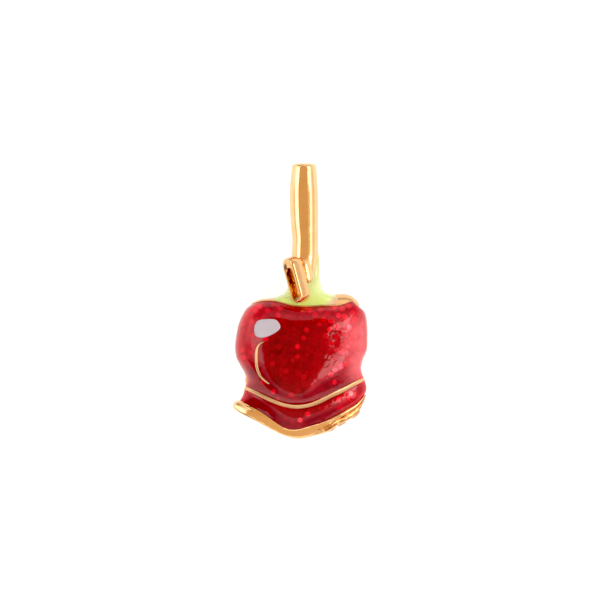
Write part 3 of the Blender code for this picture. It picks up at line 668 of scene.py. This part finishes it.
red_enamel("red_enamel_upper", "enamel_red_upper", BULB, bulb_rise, WAVE, TOP_LINE,
           WAVE_WIDTH / 2 - LINE_TUCK, TOP_LINE_WIDTH / 2 - LINE_TUCK, columns=225, rows=170)
red_enamel("red_enamel_lower", "enamel_red_lower", BAND, band_rise, RIM_INSIDE, WAVE,
           -RIM_TUCK, WAVE_WIDTH / 2 - LINE_TUCK, columns=225, rows=61)


# The casting.


def back_plate():
    """The flat back: the outline in loops, its lower edge rolled and its upper edge broken.

    The loops shrink towards the plate's middle on both faces. Each loop between has its inset and its level.
    """
    around = [(RIM_OUTSIDE, 90), (RIM_END, 4), (BAND_RIGHT, 16), (RIGHT_SIDE, 60), (CROWN[::-1], 80),
              (LEFT_SIDE[::-1], 60), (BAND_LEFT[::-1], 12), (RIM_TIP[::-1], 16)]
    ring = np.vstack([line(points)(np.linspace(0, 1, count))[:-1] for points, count in around])
    away = ring - PLATE_MIDDLE
    far = np.linalg.norm(away, axis=1, keepdims=True)
    at_waist = np.exp(-(((ring - WAIST) / WAIST_SPAN) ** 2).sum(axis=1, keepdims=True))
    ring = ring - away * (PLATE_INSET - WAIST_LEDGE * at_waist) / far
    away_in = ring - PLATE_MIDDLE
    loops = []
    for share in (0.12, 0.3, 0.5, 0.7, 0.86):
        loops.append(np.column_stack([PLATE_MIDDLE + away_in * share, np.zeros(len(ring))]))
    for inset, level in ((0.13, 0.0), (0.07, 0.012), (0.025, 0.05), (0.0, 0.12), (0.0, 0.45), (0.0, 0.78),
                         (0.02, 0.84), (0.06, PLATE_TOP)):
        loops.append(np.column_stack([ring - away * inset / far, np.full(len(ring), level)]))
    for share in (0.8, 0.5, 0.2):
        loops.append(np.column_stack([PLATE_MIDDLE + away_in * share, np.full(len(ring), PLATE_TOP)]))
    return rings(np.array(loops), middles=[(*PLATE_MIDDLE, 0.0), (*PLATE_MIDDLE, PLATE_TOP)])


def core(plan, rise):
    """The metal under a sheet of enamel."""
    u, v = np.meshgrid(spread(61, 0.8), np.linspace(0.004, 0.996, 31))
    return block(relief(plan, rise, u, v, ENAMEL + GAP), CORE_FLOOR)


def gold_line(points, width, rise, drop, proud, slant=0.0):
    """A gold line that crosses the relief from side to side, widest in its middle and a little uneven.

    It slants up along the bulb's end.
    """
    share = spread(260, 0.6)
    course = line(points)(share)
    crest = SIDE_Z + dome(share) * rise + proud
    swell = width * (0.72 + 0.28 * np.sin(np.pi * share)) * (1 + 0.05 * ripple(course, 1.6, 21))
    return ribbon(course, swell, crest, drop, foot=0.4, slant=slant * dome(share) ** 0.5)


def arc():
    """The gold arc, set in the bulb like a drawn highlight and thinning to both ends."""
    share = np.linspace(0, 1, 90)
    course = line(ARC)(share)
    width = ARC_WIDTH * (0.35 + 0.65 * np.sin(np.pi * share) ** 0.6)
    return ribbon(course, width, bulb_level(course) + PROUD + ARC_PROUD, ARC_DROP, skew=ARC_SKEW)


def rim():
    """The broad gold lip along the foot, and the faces of its second layer.

    It is nearly level and rounded down at its outer edge and its left tip. Towards the right a furrow splits
    it into an upper ridge and a lower edge with lumps. Here u runs along it from the left and v across it
    from the outside.
    """
    u, v = np.meshgrid(spread(300, 0.8), spread(64, 0.7))
    inside = SIDE_Z + dome(u) * RIM_RISE + PROUD + RIM_PROUD
    end_left = np.clip(1 - u / RIM_END_SHARE, 0, 1)
    height = (1 - (1 - v) ** RIM_EDGE_POWER) ** (1 / 3) * (1 - end_left**3) ** (1 / 3)
    level = RIM_EDGE_Z + (inside - RIM_SLOPE * (1 - v) - RIM_EDGE_Z) * height
    place = patch(RIM_OUTSIDE, RIM_INSIDE, RIM_TIP, RIM_END)(u, v)
    reach = RIM_TIP_REACH[0] + RIM_TIP_REACH[1] * step(0.05, 0.85, v)
    tip = reach * (1 - step(0.0, reach, u)) * (1 - step(0.78, 0.90, v))
    right = step(0.68, 0.78, u)
    ridge = right * (1 - np.clip(np.abs(v - 0.78) / 0.24, 0, 1) ** 2)
    furrow = np.exp(-(((v - 0.50) / 0.05) ** 2)) * right
    lower = (1 - step(0.34, 0.52, v)) * right
    lumps = ripple(place, 0.95, 31) * lower * step(0.0, 0.12, v)
    seam = np.exp(-(((v - 0.22) / 0.05) ** 2)) * step(0.52, 0.60, u) * (1 - step(0.72, 0.80, u))
    stretched = place @ np.array([[0.20, 0], [0, 1.0]])
    streaks = ripple(stretched, 0.30, 34) * step(0.05, 0.2, v) * (1 - step(0.85, 1.0, v))
    streaks = streaks * step(0.12, 0.20, u)
    level = level - RIM_TIP_FALL * tip + RIDGE * ridge - FURROW * furrow - LOWER_EDGE * lower + LUMPS * lumps
    level = level - SEAM * seam * (1 + 0.4 * ripple(place, 0.6, 32)) + STREAKS * streaks
    made = block(np.concatenate([place, level[..., None]], axis=-1), RIM_FLOOR)
    blurred = ripple(place, 0.7, 35)
    second_layer = (u > 0.62 + 0.03 * blurred) & (v < 0.50 + 0.05 * blurred) & (v > 0.07)
    mask = np.zeros(len(made[1]), bool)
    mask[: second_layer[:-1, :-1].size] = second_layer[:-1, :-1].ravel()
    return made, mask


def ellipsoid(centre, radii, turn, rough=0.0, seed=1, roll=0.0):
    """A smooth lump: a sphere by latitude and longitude, scaled, rolled about Y, then turned about Z."""
    latitude = np.linspace(-np.pi / 2, np.pi / 2, 26)[1:-1, None]
    longitude = np.linspace(0, 2 * np.pi, 48, endpoint=False)[None, :]
    ball = np.stack([np.cos(latitude) * np.cos(longitude), np.cos(latitude) * np.sin(longitude),
                     np.sin(latitude) + 0 * longitude], axis=-1)
    body = ball * radii * (1 + rough * ripple(ball, 1.4, seed))[..., None]
    return rings(body @ (turn_z(turn) @ turn_y(roll)).T + centre)


def crown():
    """The bare metal shoulders over the top line: the dome, rounded down to the outline by a superellipse."""
    u, v = np.meshgrid(spread(240, 0.7), 1 - (1 - spread(40, 0.4)) ** 1.6)
    place = patch(TOP_LINE, CROWN, [TOP_LINE[0], CROWN[0]], [TOP_LINE[-1], CROWN[-1]])(u, v)
    ridge = dome(u) * (TOP_LINE_RISE - CROWN_DROP)
    level = SIDE_Z + ridge * (1 - CROWN_FALL * v) * (1 - v**CROWN_POWER) ** (1 / 3)
    return block(np.concatenate([place, level[..., None]], axis=-1), CROWN_FLOOR)


def stick():
    """The round stick: superellipses along a smooth line of edges, flat at its free end with a soft edge."""
    sides = 112
    angle = 2 * np.pi * np.arange(sides) / sides
    c = np.sign(np.cos(angle)) * np.abs(np.cos(angle)) ** (2 / STICK_POWER)
    s = np.sign(np.sin(angle)) * np.abs(np.sin(angle)) ** (2 / STICK_POWER)
    rows = line(STICK[:-1] + [(STICK[-1][0] - STICK_END_ROUND, *STICK[-1][1:])])(np.linspace(0, 1, 120))
    bend = np.linspace(0, np.pi / 2, 14)[1:]
    inset = STICK_END_ROUND * (1 - np.cos(bend))
    _, left, right, front = STICK[-1]
    ends = np.column_stack([
        STICK[-1][0] - STICK_END_ROUND * (1 - np.sin(bend)), left + inset, right - inset, front - inset,
    ])
    back = np.concatenate([np.full(len(rows), STICK_BACK_Z), STICK_BACK_Z + inset])
    y, left, right, front = np.vstack([rows, ends]).T
    x = ((left + right) / 2)[:, None] + ((right - left) / 2)[:, None] * c
    z = ((front + back) / 2)[:, None] + ((front - back) / 2)[:, None] * s
    return rings(np.stack([x, np.repeat(y[:, None], sides, axis=1), z], axis=-1), turned=True)


def stadium(length, width, count=40):
    """An oval with straight sides, as plan points about its middle, more closely set round its ends."""
    radius = width / 2
    angle = np.linspace(0, np.pi, count)
    head = np.column_stack([radius * np.cos(angle), length / 2 - radius + radius * np.sin(angle)])
    side = np.linspace(1, -1, 26)[1:-1, None] * np.array([0, length / 2 - radius]) + np.array([-radius, 0])
    return np.vstack([head, side, -head, -side])


def lug():
    """The stem lug in one skin: up its root and sides, over a rounded edge, down into its rough hollow."""
    frame_turn = turn_z(LUG_LEAN) @ turn_x(-LUG_TILT) @ turn_y(-LUG_TURN)
    skin = []
    for a in np.radians([70, 55, 40, 25, 12, 0]):
        skin.append((LUG_SIDE + LUG_BACK_ROUND * math.sin(a), LUG_BACK_ROUND * (1 - math.cos(a))))
    for share in (0.8, 0.6, 0.4):
        skin.append((LUG_SIDE * share, -LUG_BULGE))
    for a in np.radians([0, 15, 30, 45, 60, 75, 90]):
        skin.append((LUG_EDGE * (1 - math.sin(a)), LUG_EDGE * (1 - math.cos(a))))
    loops = [(stadium(LUG_LENGTH - 2 * inset, LUG_WIDTH - 2 * inset), depth) for depth, inset in skin]
    shift = np.array([0, RECESS_SHIFT])
    for a in np.radians([90, 60, 30, 0]):
        grow = 2 * RECESS_LIP * (1 - math.sin(a))
        mouth = stadium(RECESS_LENGTH + 2 * RECESS_LIP - grow, RECESS_WIDTH + 2 * RECESS_LIP - grow)
        loops.append((mouth + shift, RECESS_LIP * (1 - math.sin(a))))
    to_hollow = len(loops)
    for share in (0.3, 0.55, 0.8, 1.0):
        loops.append((stadium(RECESS_LENGTH, RECESS_WIDTH) + shift, RECESS_DEPTH * share))
    for share in (0.8, 0.55, 0.3, 0.1):
        loops.append((stadium(RECESS_LENGTH, RECESS_WIDTH) * share + shift, RECESS_DEPTH))
    rows = np.array([np.column_stack([plan, np.full(len(plan), -depth)]) for plan, depth in loops])
    rough = np.zeros(len(rows))
    rough[to_hollow:] = LUG_ROUGH
    uneven = np.stack([ripple(rows, 0.42, 41), ripple(rows, 0.42, 42), ripple(rows, 0.30, 43)], axis=-1)
    rows = rows + uneven * rough[:, None, None]
    rows = rows @ frame_turn.T + LUG_FACE
    foot = rows[:1] - np.array([0, 0, LUG_ROOT])
    count = rows.shape[1]
    points, faces = rings(np.concatenate([foot, rows]))
    in_hollow = np.zeros(len(faces), bool)
    in_hollow[to_hollow * count : len(rows) * count] = True
    in_hollow[-count:] = True
    return (points, faces), in_hollow


def neck():
    """The flare from the shoulders to the stick: half superellipses up the stick, cut off along the top line.

    Beside the lug the enamel lies a little lower.
    """
    angle = np.linspace(np.pi, 0, 81)
    c = np.sign(np.cos(angle)) * np.abs(np.cos(angle)) ** (2 / NECK_POWER)
    s = np.abs(np.sin(angle)) ** (2 / NECK_POWER)

    def at(share):
        y, left, right, front = np.moveaxis(line(NECK)(share), -1, 0)
        x = (left + right) / 2 + (right - left) / 2 * c
        return np.stack([x, y + 0 * x, SIDE_Z + (front - SIDE_Z) * s], axis=-1)

    fine = np.repeat(np.linspace(0, 1, 500)[:, None], len(angle), axis=1)
    whole = at(fine)
    edge = line(TOP_LINE)(np.linspace(0, 1, 300))
    clear = whole[..., 1] - np.interp(whole[..., 0], edge[:, 0], edge[:, 1]) - TOP_LINE_WIDTH / 2
    start = fine[:, 0][np.argmax(clear > 0, axis=0)]
    face = at(start + (1 - start) * np.linspace(0, 1, 110)[:, None])
    from_lug = np.linalg.norm((face[..., :2] - NECK_HOLLOW) / NECK_HOLLOW_SIZE, axis=-1)
    face[..., 2] -= NECK_HOLLOW_DEPTH * np.exp(-(from_lug**2)) * step(SIDE_Z, SIDE_Z + 1, face[..., 2])
    return face


def spot():
    """The pale spot: its outline in loops on the bulb's face, a hair proud and rounded at the edge."""
    middle = np.mean(SPOT, axis=0)
    around = line(SPOT + [SPOT[0]])(np.linspace(0, 1, 121))[:-1] - middle
    loops = []
    for share, rise in ((0.35, -0.22), (0.7, -0.22), (1.0, -0.22), (1.0, 0.0), (0.985, 0.022), (0.96, 0.034),
                        (0.92, 0.040), (0.8, 0.044), (0.6, 0.046), (0.4, 0.046), (0.2, 0.046)):
        place = middle + around * share
        loops.append(np.column_stack([place, bulb_level(place) + rise]))
    return rings(np.array(loops), turned=True)


def gold(name, made, material=GOLD, second=None):
    """A piece of the casting."""
    return piece(name, *made, "gold", "casting", material, second=second)


gold("casting_back", back_plate(), GOLD_BACK)
gold("casting_bed_upper", core(BULB, bulb_rise))
gold("casting_bed_lower", core(BAND, band_rise))
gold("wave_line", gold_line(WAVE, WAVE_WIDTH + 0.09, WAVE_RISE, drop=0.04, proud=0.17, slant=0.13), GOLD_LINE)
gold("shoulder_line", gold_line(TOP_LINE, TOP_LINE_WIDTH, TOP_LINE_RISE, drop=0.06, proud=0.07), GOLD_LINE)
gold("highlight_arc", arc(), GOLD_LINE)
rim_made, second_layer = rim()
gold("foot_rim", rim_made, second=(GOLD_LAYER, second_layer))
gold("shoulders", crown(), GOLD_SHOULDER)
gold("apple_stick", stick())
lug_made, in_hollow = lug()
# The lug's hollow takes painted shade, a deep orange.
gold("stem_lug", lug_made, GOLD_SHOULDER, second=(GOLD_HOLLOW_SHADED, in_hollow))
gold("stem_web", ellipsoid(WEB_CENTRE, WEB_RADII, WEB_LEAN, roll=WEB_ROLL), GOLD_BACK)
for number, (place, long, wide) in enumerate(RIM_LUMPS):
    radii = np.array([long, wide, RIM_LUMP_HEIGHT])
    shape = ellipsoid(np.array(place), radii, RIM_LUMP_LEAN, RIM_LUMP_ROUGH, RIM_LUMP_SEED + number)
    gold(f"rim_lump_{number + 1}", shape, GOLD_LAYER)

green_face = neck()
points, faces = block(green_face, NECK_FLOOR)
# The enamel thins out across a slanting line, so that the metal's tone comes through beyond it: a place on
# the line, the way across it, and where the fade starts and ends on that way.
FADE_AT, FADE_WAY, FADE_SPAN = (2.60, 0.05), (0.77, -0.63), (-0.35, 0.10)
across = (green_face[..., 0] - FADE_AT[0]) * FADE_WAY[0] + (green_face[..., 1] - FADE_AT[1]) * FADE_WAY[1]
fade = step(*FADE_SPAN, across).ravel()
fade = np.concatenate([fade, fade])
piece("green_enamel_neck", points, faces, "green_enamel", "enamel_green", GREEN, fade=fade)
piece("pale_enamel_spot", *spot(), "white_enamel", "enamel_white", WHITE)


# The studio: a pale table, white walls with a softbox at each side, and a warm dim ceiling round the camera.
# The table lies a hair under the back, so that the two faces don't mix.

FLOOR_HALF, FLOOR_Z = 0.6, -0.02 * MM
corners = [(x * FLOOR_HALF, y * FLOOR_HALF, FLOOR_Z) for x, y in ((-1, -1), (1, -1), (1, 1), (-1, 1))]
floor_mesh = bpy.data.meshes.new("table_top")
floor_mesh.from_pydata(corners, [], [(0, 1, 2, 3)])
floor = bpy.data.objects.new("table_top", floor_mesh)
bpy.context.scene.collection.objects.link(floor)
# White paper, lit from below as well, so that it prints as pure white with only a breath of shadow.
paper, _, paper_shader = new_material("white_paper")
paper_shader.inputs["Base Color"].default_value = colour("#A2A8AE")
paper_shader.inputs["Roughness"].default_value = 0.9
paper_shader.inputs["Emission Color"].default_value = (1, 1, 1, 1)
paper_shader.inputs["Emission Strength"].default_value = 0.80
floor_mesh.materials.append(paper)

# Light from the walls, low and high, and from the ceiling. The wall brightens over a span of the heading's
# Z, and the ceiling ends between two angles from straight up, in degrees.
WALL_LOW = (0.90, 0.90, 0.88)
WALL_HIGH = (1.42, 1.40, 1.34)
WALL_RISE = (0.34, 0.66)
CEILING = (0.69, 0.51, 0.29)
CEILING_EDGE = (39, 44)
# Lamps: each one's window of the sky across and along the charm, how softly it ends, and what light it adds.
LAMPS = [
    ((-1.2, -0.64), (0.10, 0.45), 0.08, 1.1),
    ((-0.93, -0.64), (-0.09, 0.13), 0.03, 1.3),
    ((-1.2, -0.58), (-0.95, -0.20), 0.08, -0.7),
    ((0.66, 0.84), (-0.50, 0.26), 0.05, 0.5),
    ((0.46, 0.79), (0.07, 0.40), 0.03, 3.6),
    ((0.42, 0.84), (-0.38, -0.07), 0.05, 3.4),
    ((0.25, 0.85), (-0.98, -0.58), 0.05, -0.4),
    ((-0.95, -0.05), (0.45, 1.20), 0.10, -0.40),
    ((-0.05, 0.95), (0.50, 1.20), 0.10, -0.20),
    ((-0.50, 0.50), (-0.66, -0.12), 0.08, 0.09),
]
world = bpy.data.worlds.new("studio")
world.use_nodes = True
sky = world.node_tree
sky.nodes.clear()
heading = node(sky, "ShaderNodeTexCoord").outputs["Generated"]
axes = node(sky, "ShaderNodeSeparateXYZ", {"Vector": heading}).outputs


def smooth(value, low, high, top=1.0):
    """A node that rises smoothly from 0 at low to top at high. With low above high it falls."""
    return node(sky, "ShaderNodeMapRange", {"Value": value, "From Min": low, "From Max": high, "To Max": top},
                interpolation_type="SMOOTHSTEP").outputs["Result"]


inner_edge, outer_edge = (math.cos(math.radians(angle)) for angle in CEILING_EDGE)
overhead = smooth(axes["Z"], outer_edge, inner_edge)
up_wall = smooth(axes["Z"], *WALL_RISE)
wall = node(sky, "ShaderNodeMix", {"Factor": up_wall, "A": (*WALL_LOW, 1), "B": (*WALL_HIGH, 1)},
            data_type="RGBA").outputs["Result"]
light = node(sky, "ShaderNodeMix", {"Factor": overhead, "A": wall, "B": (*CEILING, 1)},
             data_type="RGBA").outputs["Result"]
for x_span, y_span, soft, strength in LAMPS:
    glow = strength
    for axis, (low, high) in (("X", x_span), ("Y", y_span)):
        for edge, inner in ((low - soft, low + soft), (high + soft, high - soft)):
            window = smooth(axes[axis], edge, inner)
            glow = node(sky, "ShaderNodeMath", {0: window, 1: glow}, operation="MULTIPLY").outputs["Value"]
    light = node(sky, "ShaderNodeVectorMath", {0: light, 1: glow}, operation="ADD").outputs["Vector"]
background = node(sky, "ShaderNodeBackground", {"Color": light})
node(sky, "ShaderNodeOutputWorld", {"Surface": background.outputs["Background"]})
bpy.context.scene.world = world

# The print's black point, a little over the enamel's own reflection of the ceiling.
BLACK_POINT = (0.014, 0.014, 0.010)
view = bpy.context.scene.view_settings
view.view_transform = "Standard"
view.use_curve_mapping = True
view.curve_mapping.black_level = BLACK_POINT
view.curve_mapping.update()

# The camera looks straight down on the charm, as in the photograph, through a long lens. It stands a
# little up the charm from the outline's middle, and a metre over a level within the relief.
FRAME_MM, SENSOR_MM = 48.0, 36
CAMERA_UP, CAMERA_AWAY, CAMERA_LEVEL = 0.08, 1.0, 0.0025
camera_data = bpy.data.cameras.new("camera")
camera_data.sensor_width = SENSOR_MM
camera_data.lens = SENSOR_MM * CAMERA_AWAY / (FRAME_MM * MM)
camera_data.clip_start = 0.05
camera_data.clip_end = 20
camera = bpy.data.objects.new("camera", camera_data)
camera.location = (CENTRING[0] * MM, (CENTRING[1] + CAMERA_UP) * MM, CAMERA_AWAY + CAMERA_LEVEL)
bpy.context.scene.collection.objects.link(camera)
bpy.context.scene.camera = camera
